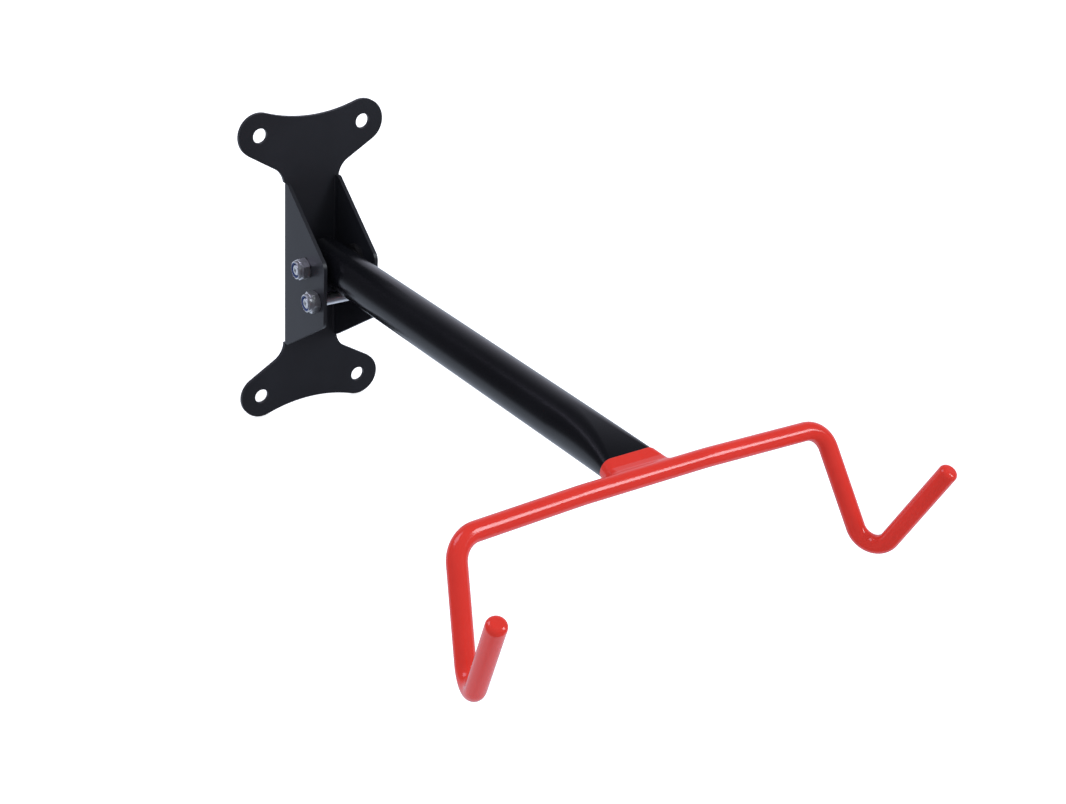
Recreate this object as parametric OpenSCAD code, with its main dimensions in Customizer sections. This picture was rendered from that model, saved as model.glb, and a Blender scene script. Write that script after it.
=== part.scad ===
// Folding wall rack for hanging a bicycle by its top tube or frame.
// A pressed steel bracket is bolted to the wall.  A round tubular arm turns on
// the upper bolt between the two folded flanges and rests on the lower bolt.
// A bent round rod is welded across the flattened end of the arm: a crossbar
// with a V-shaped hook at each end, dipped in soft plastic.
//
// Frame: +Z up, the wall is the plane y = 0, the arm reaches along -Y.
// The origin is the middle of the four wall holes on the back face.

/* [Wall plate] */
// Distance between the wall holes, sideways
hole_span_x = 75; // [64:1:100]
// Distance between the wall holes, upright
hole_span_z = 184; // [168:1:240]
// Diameter of the wall holes
wall_hole_d = 10; // [5:0.5:12]
// Radius of the four ears round the wall holes
ear_r = 15; // [10:0.5:20]
// Sheet thickness of the bracket
sheet = 2.5; // [2:0.1:4]
// Radius of the hollow top and bottom edges between the ears
edge_r = 100; // [70:1:200]
// Slope of the ears' inner edges, measured from level
ear_slope = 31; // [20:1:40]
// Radius of the hollow corner between an ear and the neck
neck_fillet = 14; // [6:1:20]

/* [Flanges] */
// Width of the neck over both flanges
neck_w = 40; // [36:0.5:48]
// Inside radius of the folds
fold_in = 1; // [0.5:0.1:2.5]
// Reach of the flanges from the wall
flange_reach = 54.5; // [50:0.5:70]
// Height above the origin at which the flanges start, on the plate
flange_top = 58; // [50:1:64]
// Depth below the origin at which the flanges end, on the plate
flange_bottom = 56; // [48:1:62]
// Height of the upper nose corner
nose_top = 18.5; // [12:0.5:28]
// Depth of the lower nose corner
nose_bottom = 24; // [20:0.5:32]
// Radius of the nose corners
nose_r = 7; // [2:0.5:10]
// Depth over which the flange ends stay square before they slope
flange_lead = 6; // [4:0.5:10]

/* [Arm] */
// Outside diameter of the arm tube
tube_d = 28; // [22:0.5:30]
// Wall thickness of the arm tube
tube_wall = 1.5; // [1:0.1:2.5]
// Height of the arm's axis above the origin
arm_z = 9; // [4:0.5:14]
// Distance from the wall to the crossbar's axis
bar_reach = 360; // [240:1:480]
// Length of the tube that changes from round to flat
crush_len = 64; // [30:1:80]
// Length of the flat end of the tube
flat_len = 3; // [2:0.5:5]
// Thickness of the flat end of the tube
flat_t = 8; // [6:0.5:9.5]
// Length of the tube end that the plastic skin covers, from the crossbar's axis
dip_back = 15.5; // [12:0.5:23]

/* [Hooks] */
// Diameter of the bare hook rod
rod_d = 10; // [8:0.5:12]
// Thickness of the dipped plastic skin
coat_t = 0.5; // [0.3:0.1:1.5]
// Half of the crossbar, to the corner of the centre line
bar_half = 122.5; // [90:0.5:170]
// Half of the crossbar's straight middle
bar_straight = 42; // [36:1:60]
// Forward sweep of each half of the crossbar
bar_sweep = 4; // [2:0.5:12]
// Outward turn of the hooks from straight ahead
hook_splay = 19; // [5:1:35]
// Forward run of the leg that comes down
down_run = 40.5; // [30:0.5:55]
// Drop of the leg that comes down
down_drop = 73; // [60:0.5:100]
// Forward run of the leg that goes up to the tip
up_run = 36; // [28:0.5:50]
// Rise of the leg that goes up to the tip
up_rise = 71.5; // [50:0.5:90]
// Bend radius at the crossbar's corners
corner_r = 15; // [12:1:24]
// Bend radius at the bottom of the hooks
vee_r = 12; // [9:0.5:18]

/* [Bolts] */
// Thread diameter of both bolts
bolt_d = 8; // [6:0.5:8]
// Depth to which both bolts reach into their nuts
bolt_into = 5; // [3:0.5:7]
// Distance from the wall to the pivot bolt
pivot_y = 31; // [28:0.5:34]
// Distance from the wall to the stop bolt
stop_y = 44.5; // [43:0.5:46]
// Width across the flats of the bolt heads and nuts
hex_af = 13; // [11:0.5:14]
// Height of the bolt heads
head_h = 5.3; // [4:0.1:7]
// Height of the lock nuts
nut_h = 8; // [6.5:0.1:10]
// Height of the hexagon of the lock nuts, without their collar
nut_hex_h = 5.6; // [4:0.1:6]

/* [Hidden] */

$fn = 72;

// Colours
painted_steel = [0.14, 0.15, 0.17];
zinc = [0.80, 0.82, 0.84];
blue_nylon = [0.16, 0.26, 0.50];
black_nylon = [0.12, 0.12, 0.13];
bare_steel = [0.48, 0.49, 0.50];
red_plastic = [0.86, 0.17, 0.12];

// Clearances
hole_gap = 0.2;     // round a bolt in a flange, in radius
turn_gap = 0.07;    // round the pivot bolt in its sleeve, in radius
push_gap = 0.05;    // round the sleeve in the tube, in radius
thread_gap = 0.05;  // round a bolt in its nut, in radius
side_gap = 0.15;    // between a spacer and the end of the sleeve
rest_gap = 0.1;     // between the arm and the stop bolt
tail_gap = 0.8;     // between the turning tail of the tube and the stop bolt
weld_gap = 0.4;     // between the end of the tube and the rod
coat_gap = 0.02;    // under the plastic skin
over = 1;           // how far a cut runs past a face

// Curves that touch cut this far into each other, so that they meet at clear points.
touch = 0.001;
// The straight stretches of the rod are a trace slimmer than its bends and run
// a little way into them, so that they join over a real ring.
seam = 0.1;
seam_run = 0.2;
// The pressed stretch of the tube starts this far inside the faces of its wall.
press_out = 0.02;
press_in = 0.06;

// Plate: the hollow edges touch the ears, so their centres follow from the radii.
ear_x = hole_span_x / 2;
ear_z = hole_span_z / 2;
neck_x = neck_w / 2;
edge_z = ear_z + sqrt(pow(edge_r + ear_r, 2) - pow(ear_x, 2));
ear_top = [ear_x, ear_z] + ear_r * unit([-ear_x, edge_z - ear_z]);
ear_low = [ear_x, ear_z] + (ear_r - touch) * [sin(ear_slope), -cos(ear_slope)];
neck_corner = [neck_x, ear_low.y - (ear_low.x - neck_x) * tan(ear_slope)];
neck_run = neck_fillet * tan((90 - ear_slope) / 2);
fold_out = fold_in + sheet;
flange_in = neck_x - sheet;

// Bolts and nuts
bolt_r = bolt_d / 2;
bolt_len = neck_w + bolt_into;
tube_r = tube_d / 2;
stop_z = arm_z - tube_r - bolt_r - rest_gap;
chamfer = 0.8;
collar_r = hex_af * 0.46;
ring_r = (bolt_r + collar_r) / 2 + 0.3;
ring_low = nut_hex_h + 0.3;
ring_lip = 0.4;

// Sleeve through the tube, and the spacers between it and the flanges
sleeve_wall = 2;
sleeve_out = 0.3;
spacer_wall = 6;
sleeve_half = tube_r + sleeve_out;
sleeve_bore_r = bolt_r + turn_gap;
sleeve_r = sleeve_bore_r + sleeve_wall;
spacer_t = flange_in - sleeve_half - side_gap;
spacer_r = bolt_r + spacer_wall;

// Arm: the lower corner of its tail sweeps past the stop bolt as it folds up.
stop_reach = norm([stop_y - pivot_y, arm_z - stop_z]);
tube_tail = sqrt(pow(stop_reach - bolt_r - tail_gap, 2) - pow(tube_r, 2));
tail_y = tube_tail - pivot_y;
rod_r = rod_d / 2;
tube_end = rod_r + weld_gap - bar_reach;
flat_start = tube_end + flat_len;
crush_start = flat_start + crush_len;
crush_rings = 12;
dip_line = dip_back - bar_reach;
dip_rings = 4;
ring_points = 40;
flat_h = flat_t / 2;
flat_w = flat_half(flat_h);

// Weld beads in the hollows between the flat end and the rod
bead_r = 1.6;
bead_in = 0.6;
bead_half = flat_w - 1.5;

// Centre line of the hook rod: the right half, from the middle to the tip
ahead = [sin(hook_splay), -cos(hook_splay), 0];
bar_mid = [bar_straight, -bar_reach, arm_z];
bar_corner = [bar_half, -bar_reach - bar_sweep, arm_z];
vee_point = bar_corner + down_run * ahead - [0, 0, down_drop];
tip = vee_point + up_run * ahead + [0, 0, up_rise];
sweep_r = 200;
right_half = [bar_mid, bar_corner, vee_point, tip];
half_bends = [sweep_r, corner_r, vee_r, 0];
rod_line = concat([for (i = [3:-1:0]) flip_x(right_half[i])], right_half);
rod_bends = concat([for (i = [3:-1:0]) half_bends[i]], half_bends);

function unit(v) = v / norm(v);
function flip_x(p) = [-p.x, p.y, p.z];

// Turn of a line at its middle point b
function turn(a, b, c) = acos(unit(b - a) * unit(c - b));

// Length of straight line that the bend at point i takes up on each side
function bend_run(i) =
    rod_bends[i] == 0 ? 0
    : rod_bends[i] * tan(turn(rod_line[i - 1], rod_line[i], rod_line[i + 1]) / 2);

// Half width of the tube where it is pressed to half the thickness h: the
// distance round its wall stays that of the round tube.
function flat_half(h) = tube_r * PI / 2 - (PI / 2 - 1) * h;

// Half thickness along the crushed stretch, for s from 0 to 1: it falls away
// slowly at first and is steepest where the flat end begins.
function crush_h(s) = tube_r + (flat_h - tube_r) * pow(s, 2);

// Half thickness of the tube at a place y along the arm
function height_at(y) = crush_h(min(max((crush_start - y) / crush_len, 0), 1));

// One ring of points round the pressed tube, set in from its outside
function pressed_ring(y, h, inset) =
    let (k = h - inset, w = flat_half(h) - h)
    [for (i = [0:ring_points - 1])
        let (a = (i + 0.5) * 360 / ring_points)
        [sign(cos(a)) * w + k * cos(a), y, arm_z + k * sin(a)]];

// Drawing plane to the X-Z plane, growing along -Y
module upright() { rotate([90, 0, 0]) children(); }

// Drawing plane to the Y-Z plane, growing along +X
module along_x() { rotate([90, 0, 90]) children(); }

// Puts children at a, with their +Z pointing to b
module aim(a, b) {
    d = b - a;
    translate(a) rotate([0, acos(d.z / norm(d)), atan2(d.y, d.x)]) children();
}

// A polygon whose corners are rounded to the radii in r, where 0 is sharp
module soft_polygon(points, r) {
    n = len(points);
    back = [for (i = [0:n - 1]) unit(points[(i + n - 1) % n] - points[i])];
    forth = [for (i = [0:n - 1]) unit(points[(i + 1) % n] - points[i])];
    half = [for (i = [0:n - 1]) acos(back[i] * forth[i]) / 2];
    polygon([for (i = [0:n - 1], side = [back[i], forth[i]])
        if (r[i] > 0 || side == back[i]) points[i] + r[i] / tan(half[i]) * side]);
    for (i = [0:n - 1])
        if (r[i] > 0)
            translate(points[i] + r[i] / sin(half[i]) * unit(back[i] + forth[i]))
                circle(r[i] + touch);
}

// One quarter of the plate's outline, from the middle to one ear
module ear_quarter() {
    difference() {
        union() {
            translate([ear_x, ear_z]) circle(ear_r);
            polygon([
                [0, 0], [neck_x, 0], neck_corner, ear_low,
                [ear_x, ear_z], ear_top, [0, ear_top.y],
            ]);
            ear_fillet();
        }
        translate([0, edge_z]) circle(edge_r + touch, $fn = 360);
    }
}

// Hollow corner between the ear and the neck
module ear_fillet() {
    low = neck_corner - [0, neck_run];
    high = neck_corner + neck_run * [cos(ear_slope), sin(ear_slope)];
    centre = low + [neck_fillet, 0];
    difference() {
        polygon([[0, low.y], centre, high, [0, high.y]]);
        translate(centre) circle(neck_fillet + touch, $fn = 144);
    }
}

module plate_outline() {
    for (mx = [0, 1], mz = [0, 1])
        mirror([mx, 0]) mirror([0, mz]) ear_quarter();
}

// Cross-section of the neck: the plate between its two folds
module channel_section() {
    front = -flange_reach - over;
    difference() {
        soft_polygon([[-neck_x, front], [neck_x, front], [neck_x, 0], [-neck_x, 0]],
            [0, 0, fold_out, fold_out]);
        soft_polygon([
            [-flange_in, front - over], [flange_in, front - over],
            [flange_in, -sheet], [-flange_in, -sheet],
        ], [0, 0, fold_in, fold_in]);
    }
}

// Side view of a flange
module flange_profile() {
    soft_polygon([
        [over, flange_top], [-flange_lead, flange_top], [-flange_reach, nose_top],
        [-flange_reach, -nose_bottom], [-flange_lead, -flange_bottom],
        [over, -flange_bottom],
    ], [0, 2, nose_r, nose_r, 2, 0]);
}

module channel() {
    intersection() {
        translate([0, 0, -flange_bottom])
            linear_extrude(flange_top + flange_bottom) channel_section();
        translate([-neck_x - over, 0, 0])
            along_x() linear_extrude(neck_w + 2 * over) flange_profile();
    }
}

module wall_bracket() {
    color(painted_steel) difference() {
        union() {
            difference() {
                upright() linear_extrude(sheet) plate_outline();
                for (side = [-1, 1])
                    translate([side * neck_x - fold_out, -sheet - over, -flange_bottom])
                        cube([2 * fold_out, sheet + 2 * over, flange_top + flange_bottom]);
            }
            channel();
        }
        for (x = [-ear_x, ear_x], z = [-ear_z, ear_z])
            translate([x, over, z]) upright()
                cylinder(d = wall_hole_d, h = sheet + 2 * over);
        for (hole = [[-pivot_y, arm_z], [-stop_y, stop_z]])
            translate([-neck_x - over, hole.x, hole.y]) along_x()
                cylinder(r = bolt_r + hole_gap, h = neck_w + 2 * over);
    }
}

// A hexagon with its corners turned down at 30 degrees on both faces
module hexagon(h) {
    face_r = hex_af * 0.48;
    wide_r = face_r + h / tan(30);
    intersection() {
        cylinder(r = hex_af / sqrt(3), h = h, $fn = 6);
        cylinder(r1 = face_r, r2 = wide_r, h = h);
        cylinder(r1 = wide_r, r2 = face_r, h = h);
    }
}

// A bolt standing on the underside of its head, with its shank along -Z
module bolt() {
    color(zinc) {
        hexagon(head_h);
        translate([0, 0, chamfer - bolt_len]) cylinder(r = bolt_r, h = bolt_len - chamfer);
        translate([0, 0, -bolt_len]) cylinder(r1 = bolt_r - chamfer, r2 = bolt_r, h = chamfer);
    }
}

// A lock nut on its seat, with the collar that holds its nylon ring on top
module lock_nut() {
    color(zinc) difference() {
        union() {
            hexagon(nut_hex_h);
            cylinder(r = collar_r, h = nut_h - chamfer);
            translate([0, 0, nut_h - chamfer])
                cylinder(r1 = collar_r, r2 = collar_r - chamfer / 2, h = chamfer);
        }
        translate([0, 0, -over]) cylinder(r = bolt_r + thread_gap, h = nut_h);
        translate([0, 0, ring_low]) cylinder(r = ring_r, h = nut_h - ring_lip - ring_low);
        translate([0, 0, ring_low]) cylinder(r = ring_r - 0.25, h = nut_h);
    }
}

module nut_ring() {
    color(blue_nylon) translate([0, 0, ring_low]) difference() {
        cylinder(r = ring_r, h = nut_h - ring_lip - ring_low);
        translate([0, 0, -over]) cylinder(r = bolt_r + thread_gap, h = nut_h);
    }
}

module at_head(y, z) { translate([neck_x, y, z]) along_x() children(); }
module at_nut(y, z) { translate([-neck_x, y, z]) mirror([1, 0, 0]) along_x() children(); }

module pivot_bolt() { at_head(-pivot_y, arm_z) bolt(); }
module pivot_nut() { at_nut(-pivot_y, arm_z) lock_nut(); }
module pivot_nut_ring() { at_nut(-pivot_y, arm_z) nut_ring(); }
module stop_bolt() { at_head(-stop_y, stop_z) bolt(); }
module stop_nut() { at_nut(-stop_y, stop_z) rotate(20) lock_nut(); }
module stop_nut_ring() { at_nut(-stop_y, stop_z) nut_ring(); }

// A flat nylon washer on the pivot bolt, against the flange on one side
module spacer(side) {
    color(black_nylon)
        translate([side * (flange_in - spacer_t / 2), -pivot_y, arm_z]) along_x()
            difference() {
                cylinder(r = spacer_r, h = spacer_t, center = true);
                cylinder(r = bolt_r + hole_gap, h = spacer_t + over, center = true);
            }
}

module spacer_left() { spacer(-1); }
module spacer_right() { spacer(1); }

// Joins rings of points, each with as many points, into one closed band
function band_faces(first, second, n) =
    [for (i = [0:n - 1]) [first + i, second + i, second + (i + 1) % n, first + (i + 1) % n]];

// The pressed end of the tube: rings outside and inside, from round to flat
module pressed_end() {
    stations = concat(
        [for (i = [0:crush_rings])
            let (s = i / crush_rings) [crush_start - s * crush_len, crush_h(s)]],
        [[tube_end, flat_h]]);
    n = ring_points;
    last = len(stations) - 1;
    skins = [press_out, tube_wall - press_in];
    rings = [for (s = stations, inset = skins) each pressed_ring(s.x, s.y, inset)];
    outside = [for (j = [0:last - 1]) each band_faces(2 * j * n, 2 * (j + 1) * n, n)];
    inside = [for (j = [0:last - 1])
        each band_faces((2 * (j + 1) + 1) * n, (2 * j + 1) * n, n)];
    polyhedron(rings, concat(outside, inside,
        band_faces(n, 0, n), band_faces(2 * last * n, (2 * last + 1) * n, n)));
}

module arm_tube() {
    color(painted_steel) difference() {
        union() {
            translate([0, crush_start, arm_z]) mirror([0, 1, 0]) upright() difference() {
                cylinder(r = tube_r, h = tail_y - crush_start);
                translate([0, 0, -over])
                    cylinder(r = tube_r - tube_wall, h = tail_y - crush_start + 2 * over);
            }
            pressed_end();
        }
        translate([-tube_r - over, -pivot_y, arm_z]) along_x()
            cylinder(r = sleeve_r + push_gap, h = tube_d + 2 * over);
    }
}

module pivot_sleeve() {
    color(bare_steel) translate([0, -pivot_y, arm_z]) along_x() difference() {
        cylinder(r = sleeve_r, h = 2 * sleeve_half, center = true);
        cylinder(r = sleeve_bore_r, h = 2 * sleeve_half + over, center = true);
    }
}

// A bend of the rod at point i of its centre line, with rod radius r
module rod_bend(i, r) {
    a = rod_line[i - 1];
    b = rod_line[i];
    c = rod_line[i + 1];
    start = b + bend_run(i) * unit(a - b);
    inward = unit(unit(a - b) + unit(c - b));
    centre = b + rod_bends[i] / cos(turn(a, b, c) / 2) * inward;
    u = unit(start - centre);
    v = unit(b - a);
    w = cross(u, v);
    multmatrix([
        [u.x, v.x, w.x, centre.x], [u.y, v.y, w.y, centre.y],
        [u.z, v.z, w.z, centre.z], [0, 0, 0, 1],
    ]) rotate_extrude(angle = turn(a, b, c), $fn = 144)
        translate([rod_bends[i], 0]) circle(r, $fn = 36);
}

// Half a ball at b, looking away from a
module dome(a, b, r) {
    translate(b) aim([0, 0, 0], b - a) rotate_extrude($fn = 36) intersection() {
        circle(r, $fn = 36);
        square(r);
    }
}

// The whole bent rod at radius r, with round ends
module bent_rod(r) {
    last = len(rod_line) - 1;
    for (i = [0:last - 1]) {
        along = unit(rod_line[i + 1] - rod_line[i]);
        a = rod_line[i] + (bend_run(i) - seam_run) * along;
        b = rod_line[i + 1] - (bend_run(i + 1) - seam_run) * along;
        aim(a, b) cylinder(r = r - seam, h = norm(b - a), $fn = 36);
    }
    for (i = [1:last - 1]) rod_bend(i, r);
    dome(rod_line[1], rod_line[0], r);
    dome(rod_line[last - 1], rod_line[last], r);
}

module hook_rod() { color(bare_steel) bent_rod(rod_r); }

// The pressed end of the tube as a full block grown by a skin, from y0 forward to y1
module pressed_block(y0, y1, skin) {
    n = ring_points;
    stations = concat([for (i = [0:dip_rings]) y0 + (flat_start - y0) * i / dip_rings], [y1]);
    last = len(stations) - 1;
    rings = [for (y = stations) each pressed_ring(y, height_at(y), -skin)];
    sides = [for (j = [0:last - 1]) each band_faces(j * n, (j + 1) * n, n)];
    polyhedron(rings, concat(sides,
        [[for (i = [0:n - 1]) i], [for (i = [n - 1:-1:0]) last * n + i]]));
}

// Both weld beads, grown by a skin
module beads(skin) {
    for (side = [-1, 1])
        translate([-bead_half - skin, tube_end - bead_in, arm_z + side * (flat_h - bead_in)])
            along_x() cylinder(r = bead_r + skin, h = 2 * (bead_half + skin), $fn = 36);
}

module rod_weld() {
    color(bare_steel) difference() {
        beads(0);
        translate([-bar_straight, -bar_reach, arm_z]) along_x()
            cylinder(r = rod_r + coat_gap, h = 2 * bar_straight, $fn = 36);
        pressed_block(dip_line, tube_end, coat_gap);
    }
}

module dip_coat() {
    color(red_plastic) difference() {
        union() {
            bent_rod(rod_r + coat_t);
            pressed_block(dip_line, tube_end - rod_r / 2, coat_t);
            beads(coat_t);
        }
        bent_rod(rod_r + coat_gap);
        pressed_block(dip_line + over, tube_end, coat_gap);
        beads(coat_gap);
    }
}

wall_bracket();
pivot_bolt();
pivot_nut();
pivot_nut_ring();
spacer_left();
spacer_right();
stop_bolt();
stop_nut();
stop_nut_ring();
arm_tube();
pivot_sleeve();
hook_rod();
rod_weld();
dip_coat();
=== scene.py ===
# %% [markdown]
# # A folding wall rack for a bicycle
#
# A pressed black bracket is screwed to the wall.  A round arm turns on the
# upper of two bolts and rests on the lower one.  At the far end of the arm sits
# a bent steel rod with two V-shaped hooks, dipped in glossy red vinyl.
#
# The construction comes ready made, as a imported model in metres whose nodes
# never move.  This notebook gives each node its finish, and replaces those
# whose real surface is finer than the construction needs.

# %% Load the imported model
import math
from contextlib import contextmanager

import bmesh
import bpy
import numpy as np
from mathutils import Matrix, Vector


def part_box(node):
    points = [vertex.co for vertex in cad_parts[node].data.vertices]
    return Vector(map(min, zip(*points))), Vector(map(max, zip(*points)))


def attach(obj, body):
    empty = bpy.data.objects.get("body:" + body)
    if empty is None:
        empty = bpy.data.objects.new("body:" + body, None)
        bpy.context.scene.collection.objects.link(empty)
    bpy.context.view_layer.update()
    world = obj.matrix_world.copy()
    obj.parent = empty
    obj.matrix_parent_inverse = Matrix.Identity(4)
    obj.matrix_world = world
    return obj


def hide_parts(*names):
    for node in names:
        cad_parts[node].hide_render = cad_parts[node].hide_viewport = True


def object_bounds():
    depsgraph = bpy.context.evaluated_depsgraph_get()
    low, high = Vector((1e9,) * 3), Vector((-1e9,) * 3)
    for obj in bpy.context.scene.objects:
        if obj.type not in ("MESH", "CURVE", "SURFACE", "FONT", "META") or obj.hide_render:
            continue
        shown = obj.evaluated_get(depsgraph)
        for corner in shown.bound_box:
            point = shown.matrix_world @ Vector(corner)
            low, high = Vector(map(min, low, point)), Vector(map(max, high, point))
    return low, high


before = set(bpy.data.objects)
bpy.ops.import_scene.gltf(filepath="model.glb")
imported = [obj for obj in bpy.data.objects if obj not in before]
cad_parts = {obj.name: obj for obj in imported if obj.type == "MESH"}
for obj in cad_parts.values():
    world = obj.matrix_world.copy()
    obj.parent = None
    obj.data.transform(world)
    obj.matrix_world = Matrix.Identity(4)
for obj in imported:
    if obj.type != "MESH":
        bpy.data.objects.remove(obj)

cad_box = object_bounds()
MM = 0.001
print("nodes:", sorted(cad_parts))
print("box in mm:", [[round(c / MM, 1) for c in corner] for corner in cad_box])

# %% [markdown]
# ## Sizes
#
# Places are read from the boxes of the nodes, so that a piece made here sits
# exactly where the construction has it.  Only what a box can't say is written
# down: how thick wall and skin are, how the end of the tube is pressed, and how
# the rod is bent.

# %% Read the main sizes
def centre_of(node):
    low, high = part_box(node)
    return (low + high) / 2


tube_low, tube_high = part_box("arm_tube")
TUBE_R = (tube_high.z - tube_low.z) / 2
ARM_Z = (tube_high.z + tube_low.z) / 2
TUBE_TAIL = tube_high.y
TUBE_END = tube_low.y
TUBE_WALL = 1.5 * MM

BAR_Y = -360 * MM
ROD_R = 4.97 * MM
COAT_T = 0.5 * MM
COAT_R = ROD_R + COAT_T
DIP_LINE = BAR_Y + 15.5 * MM

FLAT_H = 4 * MM
FLAT_START = TUBE_END + 3 * MM
CRUSH_LEN = 64 * MM
CRUSH_START = FLAT_START + CRUSH_LEN
print("arm tube radius", round(TUBE_R / MM, 2), "mm, axis at z =", round(ARM_Z / MM, 2), "mm")


# %% [markdown]
# ## Helpers
#
# Most pieces are rows of points joined into a skin.  One helper turns points
# and faces into an object, and one places a piece that was made standing on its
# own foot, such as a bolt, along the X axis of the bolts.

# %% Make an object from points and faces
def make_piece(name, points, faces, material, smooth_below=30):
    mesh = bpy.data.meshes.new(name)
    mesh.from_pydata([tuple(p) for p in points], [], faces)
    mesh.validate()
    piece = bpy.data.objects.new(name, mesh)
    bpy.context.scene.collection.objects.link(piece)
    mesh.materials.append(material)
    mesh.shade_smooth()
    mesh.set_sharp_from_angle(angle=math.radians(smooth_below))
    return piece


@contextmanager
def edit(piece):
    """Opens a piece's mesh for changes, and puts it back when they are done."""
    work = bmesh.new()
    work.from_mesh(piece.data)
    yield work
    work.to_mesh(piece.data)
    work.free()


def face_outwards(piece):
    with edit(piece) as work:
        bmesh.ops.remove_doubles(work, verts=work.verts, dist=1e-7)
        bmesh.ops.recalc_face_normals(work, faces=work.faces)


# %% Join rings of points into one skin
def ring_faces(rows, around, closed_rows=False):
    """Four-sided faces between rows of points that each go round once."""
    faces = []
    for row in range(rows if closed_rows else rows - 1):
        here, there = row * around, (row + 1) % rows * around
        for i in range(around):
            j = (i + 1) % around
            faces.append((here + i, here + j, there + j, there + i))
    return faces


# %% Hand a finished piece to the frame
def settle(piece, body, slot, *replaced):
    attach(piece, body)
    if replaced:
        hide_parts(*replaced)
    faces = len(piece.data.polygons)
    print(f"{piece.name}: {faces} faces, rides on {body}, stands for {', '.join(replaced) or 'itself'}")


# %% [markdown]
# ## Finishes
#
# Paint, plating and dipped vinyl share two kinds of unevenness: a fine grain
# that breaks up the gloss, and broad cloudy patches left by handling.  Each is
# a node group, built once, and every material places it with its own values.

# %% Place and join nodes
def fill(tree, socket, value):
    """Gives a socket a plain value, or links it to another node's socket."""
    if isinstance(value, bpy.types.NodeSocket):
        tree.links.new(value, socket)
    else:
        socket.default_value = value


def fill_inputs(tree, node, **inputs):
    """Fills a node's inputs, named with _ for a space."""
    for label, value in inputs.items():
        fill(tree, node.inputs[label.replace("_", " ")], value)


def add_node(tree, kind, settings=(), **inputs):
    node = tree.nodes.new(kind)
    for label, value in dict(settings).items():
        setattr(node, label, value)
    fill_inputs(tree, node, **inputs)
    return node


def calculate(tree, operation, *values, clamp=False):
    """One step of arithmetic, whose inputs have no names and go by their order."""
    node = add_node(tree, "ShaderNodeMath", {"operation": operation, "use_clamp": clamp})
    for socket, value in zip(node.inputs, values):
        fill(tree, socket, value)
    return node.outputs[0]


# %% Build the shared groups
def new_group(name, inputs, outputs):
    group = bpy.data.node_groups.new(name, "ShaderNodeTree")
    for label, value in inputs:
        socket = group.interface.new_socket(label, in_out="INPUT", socket_type="NodeSocketFloat")
        socket.default_value = value
    for label in outputs:
        group.interface.new_socket(label, in_out="OUTPUT", socket_type="NodeSocketFloat")
    return group, group.nodes.new("NodeGroupInput"), group.nodes.new("NodeGroupOutput")


def add_noise(group, given, detail):
    """Noise that sits still on the object, at the scale that the group is given."""
    place = add_node(group, "ShaderNodeTexCoord")
    noise = add_node(
        group, "ShaderNodeTexNoise",
        Vector=place.outputs["Object"], Scale=given.outputs["Scale"], Detail=detail,
    )
    return noise.outputs["Fac"]


def build_grain():
    """Fine grain: Height for a bump, and Roughness between two values."""
    group, given, result = new_group(
        "Fine grain",
        [("Scale", 900), ("Roughness low", 0.3), ("Roughness high", 0.4)],
        ["Height", "Roughness"],
    )
    fine = add_noise(group, given, detail=3)
    spread = add_node(
        group, "ShaderNodeMapRange", Value=fine,
        To_Min=given.outputs["Roughness low"], To_Max=given.outputs["Roughness high"],
    )
    fill_inputs(group, result, Height=fine, Roughness=spread.outputs["Result"])
    return group


def build_clouds():
    """Broad cloudy patches, from 0 to 1."""
    group, given, result = new_group("Cloudy patches", [("Scale", 25), ("Contrast", 2)], ["Mask"])
    broad = add_noise(group, given, detail=2)
    middle = calculate(group, "SUBTRACT", broad, 0.5)
    steep = calculate(group, "MULTIPLY_ADD", middle, given.outputs["Contrast"], 0.5, clamp=True)
    fill_inputs(group, result, Mask=steep)
    return group


grain = build_grain()
clouds = build_clouds()
print("shared groups:", grain.name, "and", clouds.name)


# %% Build a material from them
PATCH_CONTRAST = 2.5


def finish_material(name, dark, light, rough, scale, bump, patch=25, depth=0.02 * MM, **fixed):
    """A Principled surface between two close colours, with grain in its gloss and its relief.

    The gloss lies between the two values of rough.  Scale and bump are those of
    the grain, patch is the scale of the clouds, and fixed inputs stay even.
    """
    material = bpy.data.materials.new(name)
    material.use_nodes = True
    tree = material.node_tree
    patches = add_node(
        tree, "ShaderNodeGroup", {"node_tree": clouds}, Scale=patch, Contrast=PATCH_CONTRAST
    )
    colour = add_node(
        tree, "ShaderNodeMix", {"data_type": "RGBA"},
        Factor=patches.outputs["Mask"], A=(*dark, 1), B=(*light, 1),
    )
    fine = add_node(
        tree, "ShaderNodeGroup", {"node_tree": grain},
        Scale=scale, Roughness_low=rough[0], Roughness_high=rough[1],
    )
    relief = add_node(
        tree, "ShaderNodeBump", Strength=bump, Distance=depth, Height=fine.outputs["Height"]
    )
    fill_inputs(
        tree, tree.nodes["Principled BSDF"], Base_Color=colour.outputs["Result"],
        Roughness=fine.outputs["Roughness"], Normal=relief.outputs["Normal"], **fixed,
    )
    return material


# %% [markdown]
# The bracket is powder coated: satin black with a faint orange peel.  The arm
# has a smoother, glossier black.  The hardware is bright zinc with a cold cast,
# and the vinyl is a saturated red whose gloss is almost that of wet paint.

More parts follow.
